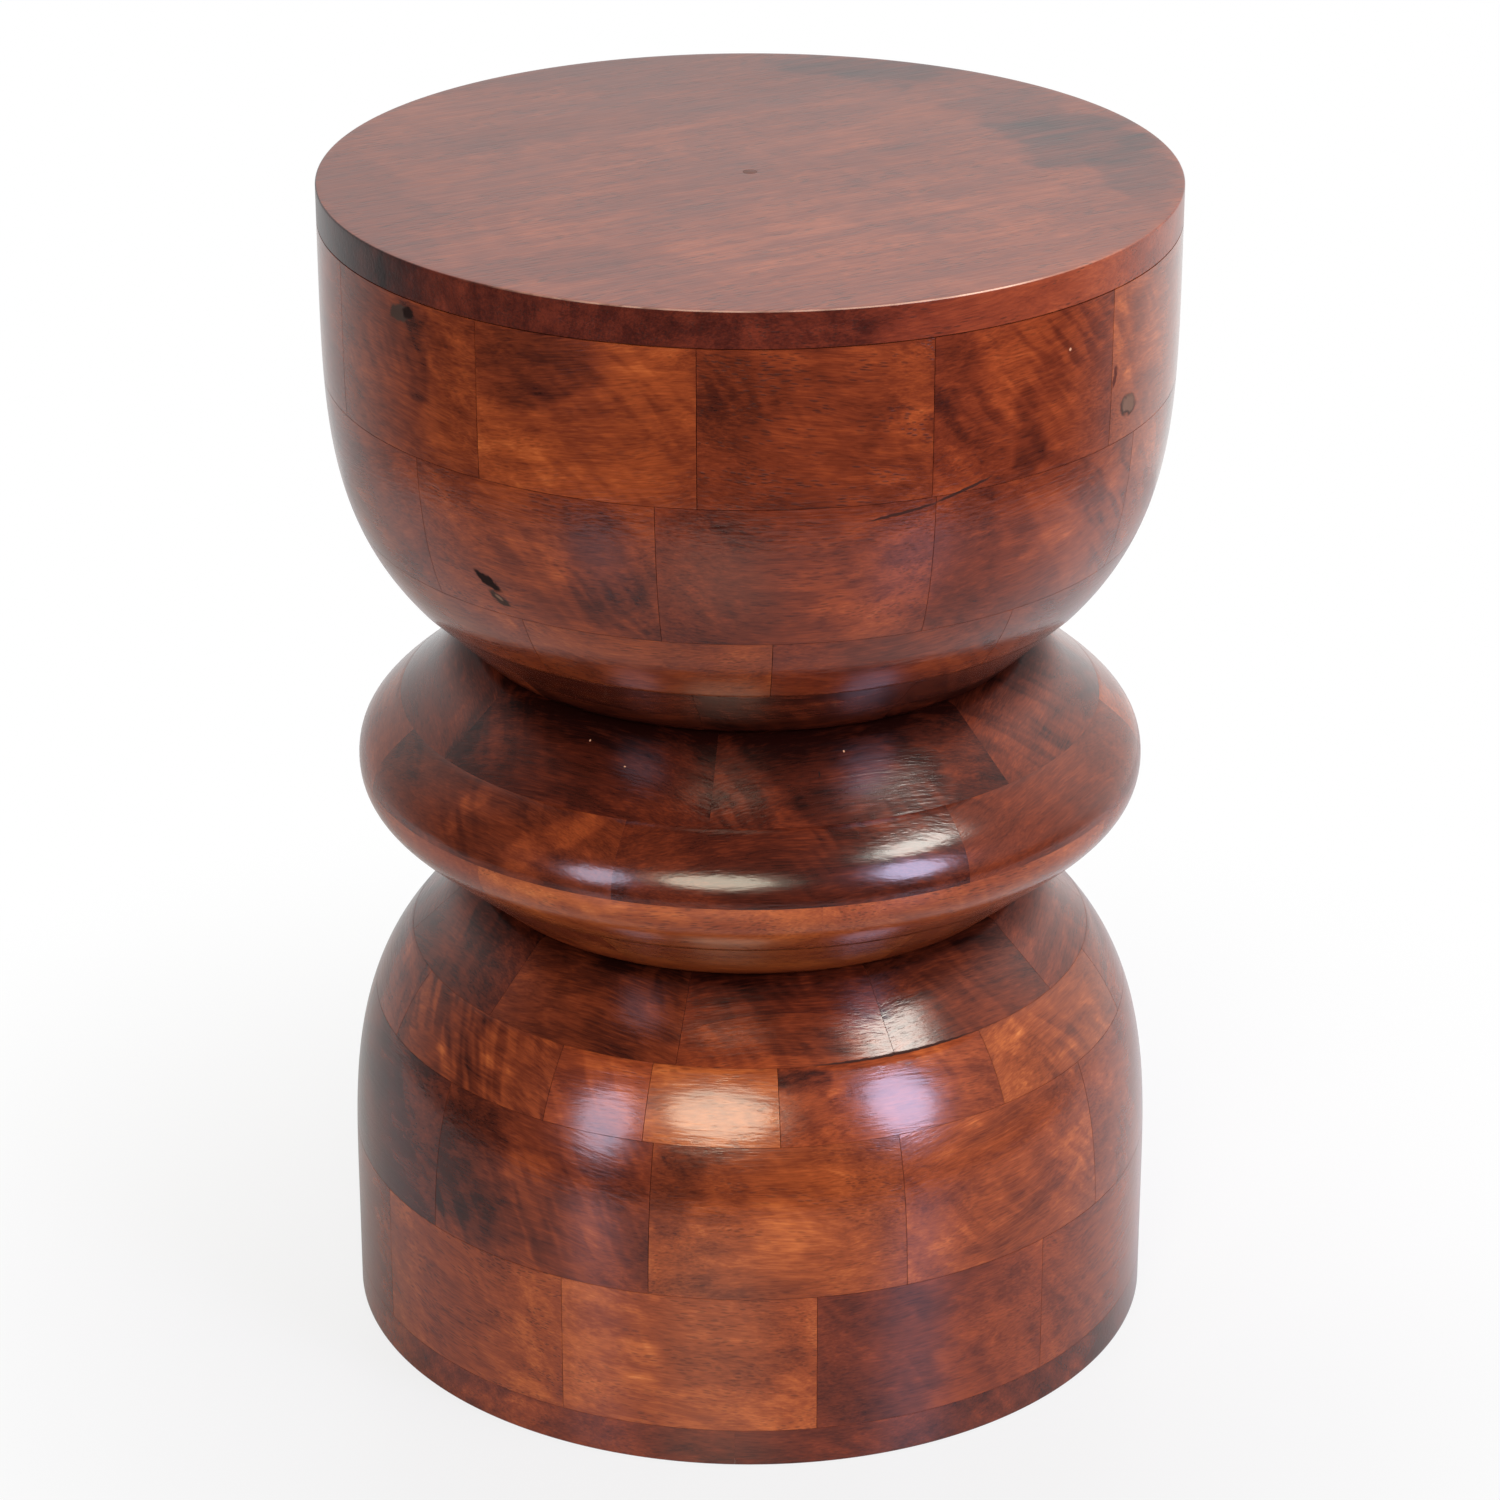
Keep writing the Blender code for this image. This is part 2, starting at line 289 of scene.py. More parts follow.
class Recipe:
    """The nodes of one finish, added step by step."""

    def __init__(self, owner):
        owner.use_nodes = True
        self.owner = owner
        self.tree = owner.node_tree
        self.tree.nodes.clear()

    def node(self, kind, **settings):
        made = self.tree.nodes.new(kind)
        for key, value in settings.items():
            setattr(made, key, value)
        return made

    def feed(self, socket, value):
        if isinstance(value, bpy.types.NodeSocket):
            self.tree.links.new(value, socket)
        else:
            socket.default_value = value

    def read(self, name, channel="Vector"):
        return self.node("ShaderNodeAttribute", attribute_name=name).outputs[channel]

    def place(self):
        return self.node("ShaderNodeTexCoord").outputs["Object"]

    def sum(self, operation, *values, clamp=False):
        made = self.node("ShaderNodeMath", operation=operation, use_clamp=clamp)
        for socket, value in zip(made.inputs, values):
            self.feed(socket, value)
        return made.outputs[0]

    def vector(self, operation, *values, output="Vector"):
        made = self.node("ShaderNodeVectorMath", operation=operation)
        for socket, value in zip(made.inputs, values):
            self.feed(socket, value)
        return made.outputs[output]

    def split(self, vector):
        made = self.node("ShaderNodeSeparateXYZ")
        self.feed(made.inputs[0], vector)
        return made.outputs

    def join(self, x, y, z):
        made = self.node("ShaderNodeCombineXYZ")
        for socket, value in zip(made.inputs, (x, y, z)):
            self.feed(socket, value)
        return made.outputs[0]

    def noise(self, vector, detail=2.0, output="Fac"):
        made = self.node("ShaderNodeTexNoise")
        self.feed(made.inputs["Vector"], vector)
        made.inputs["Scale"].default_value = 1.0
        made.inputs["Detail"].default_value = detail
        return made.outputs[output]

    def cells(self, vector):
        made = self.node("ShaderNodeTexVoronoi")
        self.feed(made.inputs["Vector"], vector)
        made.inputs["Scale"].default_value = 1.0
        return made.outputs["Distance"]

    def drift(self, vector, scale, push):
        """A push to either side that changes from place to place."""
        either_way = self.noise(self.vector("MULTIPLY", vector, scale), 2.0, "Color")
        either_way = self.vector("SUBTRACT", either_way, (0.5, 0.5, 0.5))
        return self.vector("MULTIPLY", either_way, push)

    def centred(self, value, share):
        """A value from 0 to 1 as a change to either side."""
        return self.sum("MULTIPLY", self.sum("SUBTRACT", value, 0.5), share)

    def ramp(self, value, low, high, to_low=0.0, to_high=1.0):
        made = self.node("ShaderNodeMapRange", interpolation_type="SMOOTHSTEP")
        for socket, number in zip(made.inputs, (value, low, high, to_low, to_high)):
            self.feed(socket, number)
        return made.outputs[0]

    def layer(self, vector, layer):
        """One layer of the wood's figure, from 0 to 1."""
        made = self.noise(self.vector("MULTIPLY", vector, layer.scale), layer.detail)
        return self.ramp(made, *layer.fade) if layer.fade else made

    def blend(self, share, first, second, mode="MIX"):
        made = self.node("ShaderNodeMix", data_type="RGBA", blend_type=mode)
        self.feed(made.inputs[0], share)
        self.feed(made.inputs[6], first)
        self.feed(made.inputs[7], second)
        return made.outputs[2]

    def tones(self, value, stops):
        made = self.node("ShaderNodeValToRGB")
        self.feed(made.inputs[0], value)
        points = made.color_ramp.elements
        while len(points) < len(stops):
            points.new(0.5)
        for point, (place, colour) in zip(points, stops):
            point.position = place
            point.color = (*colour, 1.0)
        return made.outputs[0]

    def bump(self, height, strength, distance):
        made = self.node("ShaderNodeBump")
        made.inputs["Strength"].default_value = strength
        made.inputs["Distance"].default_value = distance
        self.feed(made.inputs["Height"], height)
        return made.outputs[0]

    def shade(self, colour, roughness, normal, **constants):
        shader = self.node("ShaderNodeBsdfPrincipled")
        self.feed(shader.inputs["Base Color"], colour)
        self.feed(shader.inputs["Roughness"], roughness)
        self.feed(shader.inputs["Normal"], normal)
        for key, value in constants.items():
            self.feed(shader.inputs[key.replace("_", " ")], value)
        self.surface(shader, "ShaderNodeOutputMaterial")
        return self.owner

    def surface(self, shader, kind):
        out = self.node(kind)
        self.tree.links.new(shader.outputs[0], out.inputs["Surface"])


# Stain from the darkest streaks to the palest, linear colours
STAIN = (
    (0.00, (0.007, 0.0012, 0.0008)),
    (0.22, (0.040, 0.0062, 0.0026)),
    (0.45, (0.108, 0.0175, 0.0056)),
    (0.65, (0.188, 0.0340, 0.0088)),
    (0.85, (0.305, 0.0670, 0.0160)),
    (1.00, (0.430, 0.1200, 0.0320)),
)
ORANGE_CAST = (1.04, 1.22, 1.10, 1.0)
PURPLE_CAST = (0.92, 0.95, 1.55, 1.0)
JOINT_LINE = (0.010, 0.0035, 0.0025, 1.0)
PORE = (0.020, 0.006, 0.004, 1.0)
WORN = (0.52, 0.33, 0.24, 1.0)
KNOT = (0.012, 0.006, 0.005, 1.0)
SLATE = (0.042, 0.026, 0.021, 1.0)
KNOT_HEART = (0.135, 0.078, 0.054, 1.0)
SMUDGE = (0.075, 0.022, 0.016, 1.0)
CRACK = (0.030, 0.012, 0.009, 1.0)
SPECK = (0.42, 0.22, 0.13, 1.0)

# Marks in the photograph: the block, place from its middle in metres, half width, half height, turn and colour,
# or no colour where only the lacquer is dull
Mark = namedtuple("Mark", "ring block across up wide tall turn colour")
MARKS = (
    Mark("rim_block", 11, 0.0031, 0.0215, 0.0060, 0.0032, 12, SLATE),
    Mark("rim_block", 11, 0.0080, 0.0226, 0.0030, 0.0022, 0, KNOT),
    Mark("rim_block", 3, -0.0274, -0.0163, 0.0060, 0.0040, -10, SLATE),
    Mark("rim_block", 3, -0.0270, -0.0160, 0.0048, 0.0031, -10, KNOT_HEART),
    Mark("rim_block", 3, -0.0372, -0.0034, 0.0012, 0.0042, -15, SMUDGE),
    Mark("rim_block", 2, 0.0159, 0.0128, 0.0006, 0.0006, 0, SPECK),
    Mark("rim_block", 2, -0.0272, -0.0270, 0.0118, 0.0006, 14.7, CRACK),
    Mark("bowl_block", 2, -0.0365, 0.0260, 0.0118, 0.0006, 14.7, CRACK),
    Mark("bowl_block", 1, 0.0347, 0.0213, 0.0130, 0.0006, 8.2, CRACK),
    Mark("bowl_block", 10, -0.0185, -0.0129, 0.0061, 0.0021, -30, KNOT),
    Mark("bowl_block", 10, -0.0146, -0.0191, 0.0050, 0.0019, -27, SLATE),
    Mark("bowl_block", 10, -0.0147, -0.0187, 0.0018, 0.0007, -29, KNOT_HEART),
    Mark("bell_shoulder_block", 1, 0.0054, 0.0118, 0.0365, 0.0004, 0, CRACK),
    Mark("bell_shoulder_block", 1, 0.0054, 0.0108, 0.0365, 0.0014, 0, None),
    Mark("bead_4_block", 1, -0.0031, 0.0056, 0.0003, 0.0003, 0, SPECK),
    Mark("bead_4_block", 1, -0.0139, 0.0007, 0.0003, 0.0008, 0, KNOT),
    Mark("bead_4_block", 7, 0.0014, 0.0053, 0.0003, 0.0003, 0, SPECK),
    Mark("bead_4_block", 7, 0.0181, 0.0009, 0.0004, 0.0002, 0, SPECK),
)
MARK_DEPTH = 0.010
MARK_EDGE = (1.15, 0.7)
RAGGED_SIZE = 0.0022
RAGGED_SCALE = (420.0, 420.0, 420.0)
RAGGED_PUSH = (0.003, 0.003, 0.003)


def marked(r, colour, slot, dull):
    """Knots, cracks, filler and specks at their places in the finished stool, where the lacquer is dull too."""
    place = r.place()
    drift = r.drift(place, RAGGED_SCALE, RAGGED_PUSH)
    rings = {ring.name: ring for ring in RINGS if ring.slot == slot}
    for mark in MARKS:
        if mark.ring not in rings:
            continue
        ring = rings[mark.ring]
        height = centre_of(span_of(ring.node or f"{ring.name}_{mark.block:02d}")) + mark.up
        radius = np.interp(height, OUTLINE_HEIGHTS, OUTLINE_RADII)
        turn = ring_start(ring, mark.block) + ring_pitch(ring) / 2 + math.asin(mark.across / radius)
        spot = r.node("ShaderNodeMapping", vector_type="TEXTURE")
        spot.inputs["Location"].default_value = (radius * math.cos(turn), radius * math.sin(turn), height)
        spot.inputs["Rotation"].default_value = (0.0, -math.radians(mark.turn), turn + math.pi / 2)
        spot.inputs["Scale"].default_value = (mark.wide, MARK_DEPTH, mark.tall)
        raggedness = min(1.0, mark.tall / RAGGED_SIZE)
        r.feed(spot.inputs["Vector"], r.vector("ADD", place, r.vector("MULTIPLY", drift, (raggedness,) * 3)))
        inside = r.ramp(r.vector("LENGTH", spot.outputs[0], output="Value"), *MARK_EDGE)
        if mark.colour:
            colour = r.blend(inside, colour, mark.colour)
        dull = r.sum("MAXIMUM", dull, inside)
    return colour, dull


# Layers of the wood's figure: noise per metre along, into and up the board, its detail, its weight in the tone
# and the values between which it fades in
Layer = namedtuple("Layer", "scale detail weight fade", defaults=(None, None))
BLOTCH = Layer((26.0, 45.0, 45.0), 3.0, 0.35)
CLOUDS = Layer((38.0, 170.0, 170.0), 2.0, 0.28)
RING_BANDS = Layer((260.0, 5.0, 0.0), 3.0, 0.38)
STREAKS = Layer((55.0, 1000.0, 1000.0), 3.0, 0.32)
FIBRES = Layer((160.0, 2300.0, 2300.0), 2.0, 0.32)
MOTTLE = Layer((130.0, 260.0, 260.0), 2.0, 0.23)
RIPPLE = Layer((170.0, 30.0, 45.0), 1.0, 0.26, (0.38, 0.62))
RIPPLE_AREA = Layer((17.0, 20.0, 24.0), 1.0, fade=(0.42, 0.66))
SHEEN_BANDS = Layer((42.0, 12.0, 14.0), 1.0, 0.12, (0.44, 0.56))
FLAMES = Layer((80.0, 150.0, 150.0), 2.0, 0.16, (0.58, 0.74))
PORE_AREA = Layer((35.0, 140.0, 140.0), 2.0, 0.50, (0.38, 0.60))
BROKEN_SEAM = Layer((70.0, 70.0, 70.0), 2.0, fade=(0.35, 0.6, 0.2, 0.95))
BRUSHED = Layer((70.0, 700.0, 700.0), 2.0)
PORE_SCALE = (200.0, 1150.0, 1150.0)
PORE_FADE = (0.44, 0.20)
GRAIN_SHEAR = 0.7
GRAIN_DRIFTS = (
    ((9.0, 30.0, 30.0), (0.010, 0.012, 0.012)),
    ((45.0, 110.0, 110.0), (0.001, 0.0022, 0.0022)),
)
BROKEN_AREA = (0.30, 0.70, 0.55, 1.45)
BROKEN_WEAR = (0.32, 0.55, 0.35, 1.0)

# Lacquer: the wood's own roughness below it, its bumps as strength and distance, and how dull it is in joints
WOOD_ROUGHNESS = 0.42
ROUGHNESS_CHANGE = 0.20
WOOD_SPECULAR = 0.03
FIBRE_HEIGHT = 0.5
WOOD_BUMP = (0.15, 0.0001)
SUNK_IN = 0.25
FILM_BUMP = (0.36, 0.0002)
LACQUER_IOR = 1.5
LACQUER_ROUGHNESS = 0.16
JOINT_DULL = 2.0
SEAT_ROUGHNESS = 0.30
SEAT_CONTRAST = 0.82
BEAD_CONTRAST = 0.75


def dull_necks(r):
    height = r.split(r.place())[2]
    dull = 0.0
    for neck in NECKS:
        apart = r.sum("ABSOLUTE", r.sum("SUBTRACT", height, neck))
        dull = r.sum("MAXIMUM", dull, r.ramp(apart, NECK_DULL_FROM, NECK_DULL_TO, NECK_DULL, 0.0))
    return dull


def stained_wood(slot, coat_roughness=LACQUER_ROUGHNESS, contrast=1.0):
    """Red-brown stained hardwood under lacquer, with each block's own grain."""
    r = Recipe(bpy.data.materials.new(slot))
    grain = r.read("grain")
    light, warm, _ = r.split(r.read("tone"))
    ripple_share, pore_share, _ = r.split(r.read("figure"))
    bent = grain
    for scale, push in GRAIN_DRIFTS:
        bent = r.vector("ADD", bent, r.drift(bent, scale, push))
    x, y, z = r.split(bent)
    from_pith = r.sum("SQRT", r.sum("ADD", r.sum("MULTIPLY", y, y), r.sum("MULTIPLY", z, z)))
    rings = r.join(from_pith, x, 0.0)
    sheared = r.join(r.sum("ADD", x, r.sum("MULTIPLY", z, GRAIN_SHEAR)), y, z)

    blotch, clouds, fibres = r.layer(grain, BLOTCH), r.layer(bent, CLOUDS), r.layer(bent, FIBRES)
    broken = r.sum("MULTIPLY", r.read("shade", "Fac"), r.ramp(clouds, *BROKEN_AREA))
    rippled = r.sum("MULTIPLY", r.layer(grain, RIPPLE_AREA), ripple_share)
    parts = (
        broken,
        r.centred(blotch, BLOTCH.weight * contrast),
        r.centred(clouds, CLOUDS.weight * contrast),
        r.centred(r.layer(rings, RING_BANDS), RING_BANDS.weight * contrast),
        r.centred(r.layer(bent, STREAKS), STREAKS.weight * contrast),
        r.centred(fibres, FIBRES.weight),
        r.centred(r.layer(bent, MOTTLE), MOTTLE.weight * contrast),
        r.centred(r.layer(sheared, RIPPLE), r.sum("MULTIPLY", rippled, RIPPLE.weight)),
        r.centred(r.layer(sheared, SHEEN_BANDS), r.sum("MULTIPLY", ripple_share, SHEEN_BANDS.weight)),
        r.sum("MULTIPLY", r.layer(sheared, FLAMES), r.sum("MULTIPLY", ripple_share, FLAMES.weight)),
    )
    level = light
    for part in parts:
        level = r.sum("ADD", level, part)

    colour = r.tones(level, STAIN)
    for side, cast in ((1.0, ORANGE_CAST), (-1.0, PURPLE_CAST)):
        share = r.sum("MULTIPLY", warm, side, clamp=True)
        colour = r.blend(share, colour, r.blend(1.0, colour, cast, "MULTIPLY"))
    pores = r.ramp(r.cells(r.vector("MULTIPLY", bent, PORE_SCALE)), *PORE_FADE)
    pore_depth = r.sum("MULTIPLY", r.sum("MULTIPLY", pores, r.layer(bent, PORE_AREA)), pore_share)
    colour = r.blend(r.sum("MULTIPLY", pore_depth, PORE_AREA.weight, clamp=True), colour, PORE)
    joint = r.read("joint", "Fac")
    colour = r.blend(r.sum("MULTIPLY", joint, r.layer(grain, BROKEN_SEAM)), colour, JOINT_LINE)
    worn = r.sum("MULTIPLY", r.read("worn", "Fac"), r.ramp(clouds, *BROKEN_WEAR))
    colour = r.blend(worn, colour, WORN)
    dull = r.sum("MAXIMUM", r.sum("MULTIPLY", joint, JOINT_DULL, clamp=True), dull_necks(r))
    colour, dull = marked(r, colour, slot, dull)

    roughness = r.sum("ADD", WOOD_ROUGHNESS, r.centred(blotch, ROUGHNESS_CHANGE))
    hollows = r.sum("SUBTRACT", r.sum("MULTIPLY", fibres, FIBRE_HEIGHT), pore_depth)
    film = r.sum("ADD", r.sum("MULTIPLY", hollows, SUNK_IN), r.layer(grain, BRUSHED))
    return r.shade(colour, roughness, r.bump(hollows, *WOOD_BUMP), Specular_IOR_Level=WOOD_SPECULAR,
                   IOR=LACQUER_IOR, Coat_Weight=r.sum("SUBTRACT", 1.0, dull, clamp=True),
                   Coat_Roughness=coat_roughness, Coat_IOR=LACQUER_IOR, Coat_Normal=r.bump(film, *FILM_BUMP))


# Finishes without lacquer: unstained beech for the dowels and dark filler in the lathe's centre hole
Bare = namedtuple("Bare", "scale tones roughness change")
BEECH = Bare((900.0, 900.0, 70.0), ((0.2, (0.30, 0.17, 0.08)), (0.8, (0.52, 0.34, 0.18))), 0.55, 0.2)
PASTE = Bare((1400.0, 1400.0, 1400.0), ((0.3, (0.085, 0.030, 0.021)), (0.7, (0.17, 0.062, 0.042))), 0.35, 0.3)
BARE_BUMP = (0.3, 0.0002)


def bare_finish(slot, bare):
    r = Recipe(bpy.data.materials.new(slot))
    speckle = r.noise(r.vector("MULTIPLY", r.place(), bare.scale), 3.0)
    roughness = r.sum("ADD", bare.roughness, r.sum("MULTIPLY", speckle, bare.change))
    return r.shade(r.tones(speckle, bare.tones), roughness, r.bump(speckle, *BARE_BUMP))


PLAIN_LACQUERED = ("rim_wood", "bowl_wood", "bell_wood", "foot_wood", "base_wood")
FINISHES = {slot: stained_wood(slot) for slot in PLAIN_LACQUERED}
FINISHES["bead_wood"] = stained_wood("bead_wood", contrast=BEAD_CONTRAST)
FINISHES["seat_wood"] = stained_wood("seat_wood", SEAT_ROUGHNESS, SEAT_CONTRAST)
FINISHES["dowel_wood"] = bare_finish("dowel_wood", BEECH)
FINISHES["filler"] = bare_finish("filler", PASTE)


def finish_piece(name, bm, slot, *nodes):
    """Makes a shape a named piece that stands for its solids and moves with them."""
    bmesh.ops.recalc_face_normals(bm, faces=bm.faces)
    mesh = bpy.data.meshes.new(name)
    bm.to_mesh(mesh)
    bm.free()
    mesh.shade_smooth()
    mesh.set_sharp_from_angle(angle=SHARP)
    mesh.materials.append(FINISHES[slot])
    piece = bpy.data.objects.new(name, mesh)
    bpy.context.scene.collection.objects.link(piece)
    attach(piece, "root")
    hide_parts(*nodes)
    return piece


# Blocks that the photograph shows: lightness, warmth, ripple, pores, slope of the grain in degrees, and
# light or dark areas as (across, up, half width, half height, turn, gain) in shares of the block's half sizes
Board = namedtuple("Board", "light warm ripple pores slope areas")
LAID_BOARDS = {
    "rim_block_10": Board(0.50, 0.1, 0.3, 0.5, 2, ()),
    "rim_block_11": Board(0.47, 0.5, 0.5, 0.5, -5, (
        (0.28, 0.20, 0.16, 0.50, 10, -0.17), (0.72, -0.16, 0.30, 0.80, 0, 0.04),
        (0.20, 0.80, 0.16, 0.20, 0, -0.2))),
    "rim_block_12": Board(0.54, 0.5, 0.4, 0.5, 9, (
        (-0.46, 0.55, 0.56, 0.52, 12, -0.22), (0.58, 0.50, 0.44, 0.50, 0, 0.02),
        (-0.62, -0.62, 0.40, 0.36, -15, 0.10))),
    "rim_block_01": Board(0.40, 0.35, 0.3, 1.3, -6, (
        (0.76, -0.42, 0.20, 0.55, 0, 0.08), (0.82, 0.45, 0.17, 0.50, 0, 0.08),
        (-0.75, 0.0, 0.25, 0.85, 0, -0.07))),
    "rim_block_02": Board(0.46, 0.0, 0.7, 0.6, 6, (
        (-0.86, 0.30, 0.34, 1.10, 14, -0.09), (-0.05, -0.45, 0.17, 0.46, 10, -0.17),
        (-0.38, 0.33, 0.26, 0.64, 10, 0.05))),
    "rim_block_03": Board(0.60, 0.4, 0.6, 0.5, -8, ()),
    "bowl_block_09": Board(0.49, 0.3, 0.4, 0.6, 3, ()),
    "bowl_block_10": Board(0.49, 0.45, 0.6, 1.0, -3, (
        (0.66, -0.04, 0.33, 1.00, 16, -0.13), (-0.25, -0.10, 0.60, 0.90, 0, 0.02))),
    "bowl_block_01": Board(0.42, 0.2, 0.3, 0.9, 1, (
        (0.50, -0.34, 0.50, 0.55, 0, 0.08), (0.70, 0.60, 0.40, 0.35, 0, 0.05),
        (-0.60, 0.0, 0.45, 1.10, 0, -0.08))),
    "bowl_block_02": Board(0.51, 0.1, 0.8, 0.5, 4, ((-0.76, 0.10, 0.28, 1.10, 10, -0.15),)),
    "bowl_block_03": Board(0.56, 0.2, 0.6, 0.5, -4, ()),
    "bowl_shoulder_block_10": Board(0.58, 0.75, 0.2, 0.9, -2, ((-0.75, -0.5, 0.30, 0.60, 0, -0.15),)),
    "bowl_shoulder_block_01": Board(0.45, 0.1, 0.5, 0.7, 3, ((0.60, -0.40, 0.45, 0.45, 0, 0.09),)),
    "bowl_shoulder_block_09": Board(0.52, 0.5, 0.5, 0.4, 2, ()),
    "bowl_shoulder_block_02": Board(0.50, 0.2, 0.7, 0.4, -3, ()),
    # The upper neck and the bead's upper courses face up under the bowl: their boards are darker, partly their
    # own tone and partly painted shade
    "upper_neck_block_10": Board(0.26, 0.3, 0.4, 0.6, 2, ()),
    "upper_neck_block_09": Board(0.3, 0.4, 0.4, 0.6, -2, ()),
    "upper_neck_block_01": Board(0.26, 0.2, 0.5, 0.6, 3, ()),
    "bead_4_block_07": Board(0.17, 0.1, 0.6, 0.4, 2, ((-0.75, -0.30, 0.18, 0.40, 20, 0.10),)),
    "bead_4_block_01": Board(0.18, 0.2, 0.6, 0.5, -2, ((0.85, -0.2, 0.20, 0.60, 0, 0.10),)),
    "bead_4_block_02": Board(0.34, 0.3, 0.6, 0.4, 4, ()),
    "bead_4_block_06": Board(0.33, 0.0, 0.8, 0.4, -4, ()),
    "bead_3_block_06": Board(0.33, 0.5, 0.7, 0.4, 3, (
        (0.60, 0.40, 0.30, 0.45, 40, 0.10), (0.0, 0.55, 0.25, 0.30, 50, 0.12))),
    "bead_3_block_07": Board(0.24, 0.2, 0.6, 0.4, -3, ()),
    "bead_3_block_01": Board(0.42, 0.4, 0.5, 0.5, 5, ()),
    # The bead's lower courses face the floor: their boards are lighter, partly their own tone and partly
    # painted light from below
    "bead_2_block_07": Board(0.72, 0.6, 0.3, 1.0, 1, ((-0.4, 0.6, 0.70, 0.25, 0, 0.10),)),
    "bead_2_block_01": Board(0.63, 0.5, 0.3, 1.0, -1, ()),
    "bead_2_block_06": Board(0.62, 0.4, 0.4, 0.8, 2, ()),
    "bead_1_block_01": Board(0.72, 0.7, 0.3, 0.9, -1, ()),
    "bead_1_block_02": Board(0.63, 0.5, 0.3, 0.9, 1, ()),
    # The lower neck faces up under the bead: its boards are darker, partly their own tone and partly painted
    # shade
    "lower_neck_block_09": Board(0.31, 0.2, 0.6, 0.4, 4, ((0.10, 0.40, 0.40, 0.50, 0, -0.14),)),
    "lower_neck_block_10": Board(0.34, 0.6, 0.6, 0.4, -5, ((-0.10, 0.40, 0.40, 0.40, 20, -0.08),)),
    "lower_neck_block_01_back_ply": Board(0.33, 0.1, 0.4, 0.7, 2, ()),
    "lower_neck_block_01_front_ply": Board(0.46, 0.4, 0.4, 0.7, 1, ((0.30, -0.50, 0.50, 0.40, 0, -0.10),)),
    "lower_neck_block_02": Board(0.33, 0.5, 0.4, 0.6, -2, ()),
    "lower_neck_block_03": Board(0.42, 0.2, 0.3, 0.4, 2, ()),
    "bell_shoulder_block_03": Board(0.50, 0.3, 0.3, 0.4, -2, ()),
    "bell_shoulder_block_09": Board(0.38, 0.5, 1.2, 0.3, -6, ((0.40, 0.30, 0.30, 0.50, 0, 0.14),)),
    "bell_shoulder_block_10": Board(0.62, 0.2, 0.5, 0.6, 3, ()),
    "bell_shoulder_block_11": Board(0.66, 1, 0.3, 0.6, 2, ()),
    "bell_shoulder_block_01": Board(0.54, 0.4, 0.6, 0.6, -3, ((-0.80, 0.70, 0.25, 0.35, -10, -0.32),)),
    "bell_shoulder_block_02": Board(0.58, 0.9, 0.5, 0.3, 6, ((-0.75, 0.50, 0.20, 0.45, 0, 0.12),)),
    "bell_block_09": Board(0.27, 0.1, 0.6, 0.4, 5, ()),
    "bell_block_10": Board(0.43, 0.4, 0.6, 0.4, -5, (
        (-0.70, 0.10, 0.42, 0.90, 0, -0.20), (-0.25, 0.30, 0.42, 0.24, 8, 0.16),
        (0.60, 0.0, 0.30, 0.90, 0, 0.03))),
    "bell_block_01": Board(0.54, 0.85, 0.5, 0.8, 1, (
        (-0.85, 0.35, 0.22, 0.50, -12, -0.20), (-0.30, -0.20, 0.55, 0.50, 0, 0.10),
        (0.10, 0.90, 0.90, 0.18, 0, -0.08))),
    "bell_block_02": Board(0.59, 0.55, 0.5, 0.5, 5, ((-0.47, -0.46, 0.36, 0.40, 20, 0.08),)),
    "bell_block_03": Board(0.52, 0.3, 0.6, 0.5, -5, ()),
    "foot_block_08": Board(0.47, 0.3, 0.4, 0.7, 5, ()),
    "foot_block_09": Board(0.59, 0.5, 0.3, 1.1, -6, ((0.61, -0.43, 0.34, 0.55, 0, 0.06),)),
    "foot_block_10": Board(0.66, 0.6, 0.3, 0.8, -3, (
        (0.30, -0.05, 0.60, 0.30, 8, -0.10), (0.75, -0.66, 0.25, 0.32, 0, 0.04),
        (-0.6, 0.2, 0.35, 0.80, 0, 0.09))),
    "foot_block_01": Board(0.49, 0.1, 0.5, 0.6, 3, ((-0.55, 0.0, 0.52, 1.20, 0, -0.12),)),
    "foot_block_02": Board(0.53, 0.2, 0.4, 0.8, 4, ()),
    "base_board_left": Board(0.45, 0.2, 0.3, 0.7, 0, (
        (-0.60, 0.0, 0.10, 0.90, 0, 0.14), (0.0, 0.0, 0.25, 1.2, 0, -0.05))),
    "base_board_right": Board(0.33, 0.0, 0.3, 0.7, 0, ()),
}

# Boards drawn by chance: mean and spread, ranges, or a choice
CHANCE_LIGHT = (0.50, 0.09)
CHANCE_WARM = (-0.2, 0.7)
CHANCE_RIPPLE = (0.2, 1.0)
CHANCE_PORES = (0.3, 1.0)
CHANCE_SLOPE = (0, 5)
AREA_COUNTS = (0, 1, 1, 2)
AREA_RANGES = ((-0.9, 0.9), (-0.8, 0.8), (0.3, 0.8), (0.3, 0.8), (-25, 25))
AREA_GAINS = (-0.12, -0.08, 0.08, 0.13)

# Edges of the areas: how ragged, as noise per metre and its push in metres, how square, and how soft
AREA_DRIFTS = (((60, 90), 0.0, 0.0050), ((170, 260), 5.0, 0.0022))
AREA_SQUARE = 3
AREA_END = 1.2
AREA_FADE = 0.4

# Where a board lies in its tree
PITH_OUT = (-0.02, 0.07)
PITH_UP = (-0.05, 0.05)
GRAIN_TILT = (-0.05, 0.05)
GRAIN_SHIFT = (-2, 2)


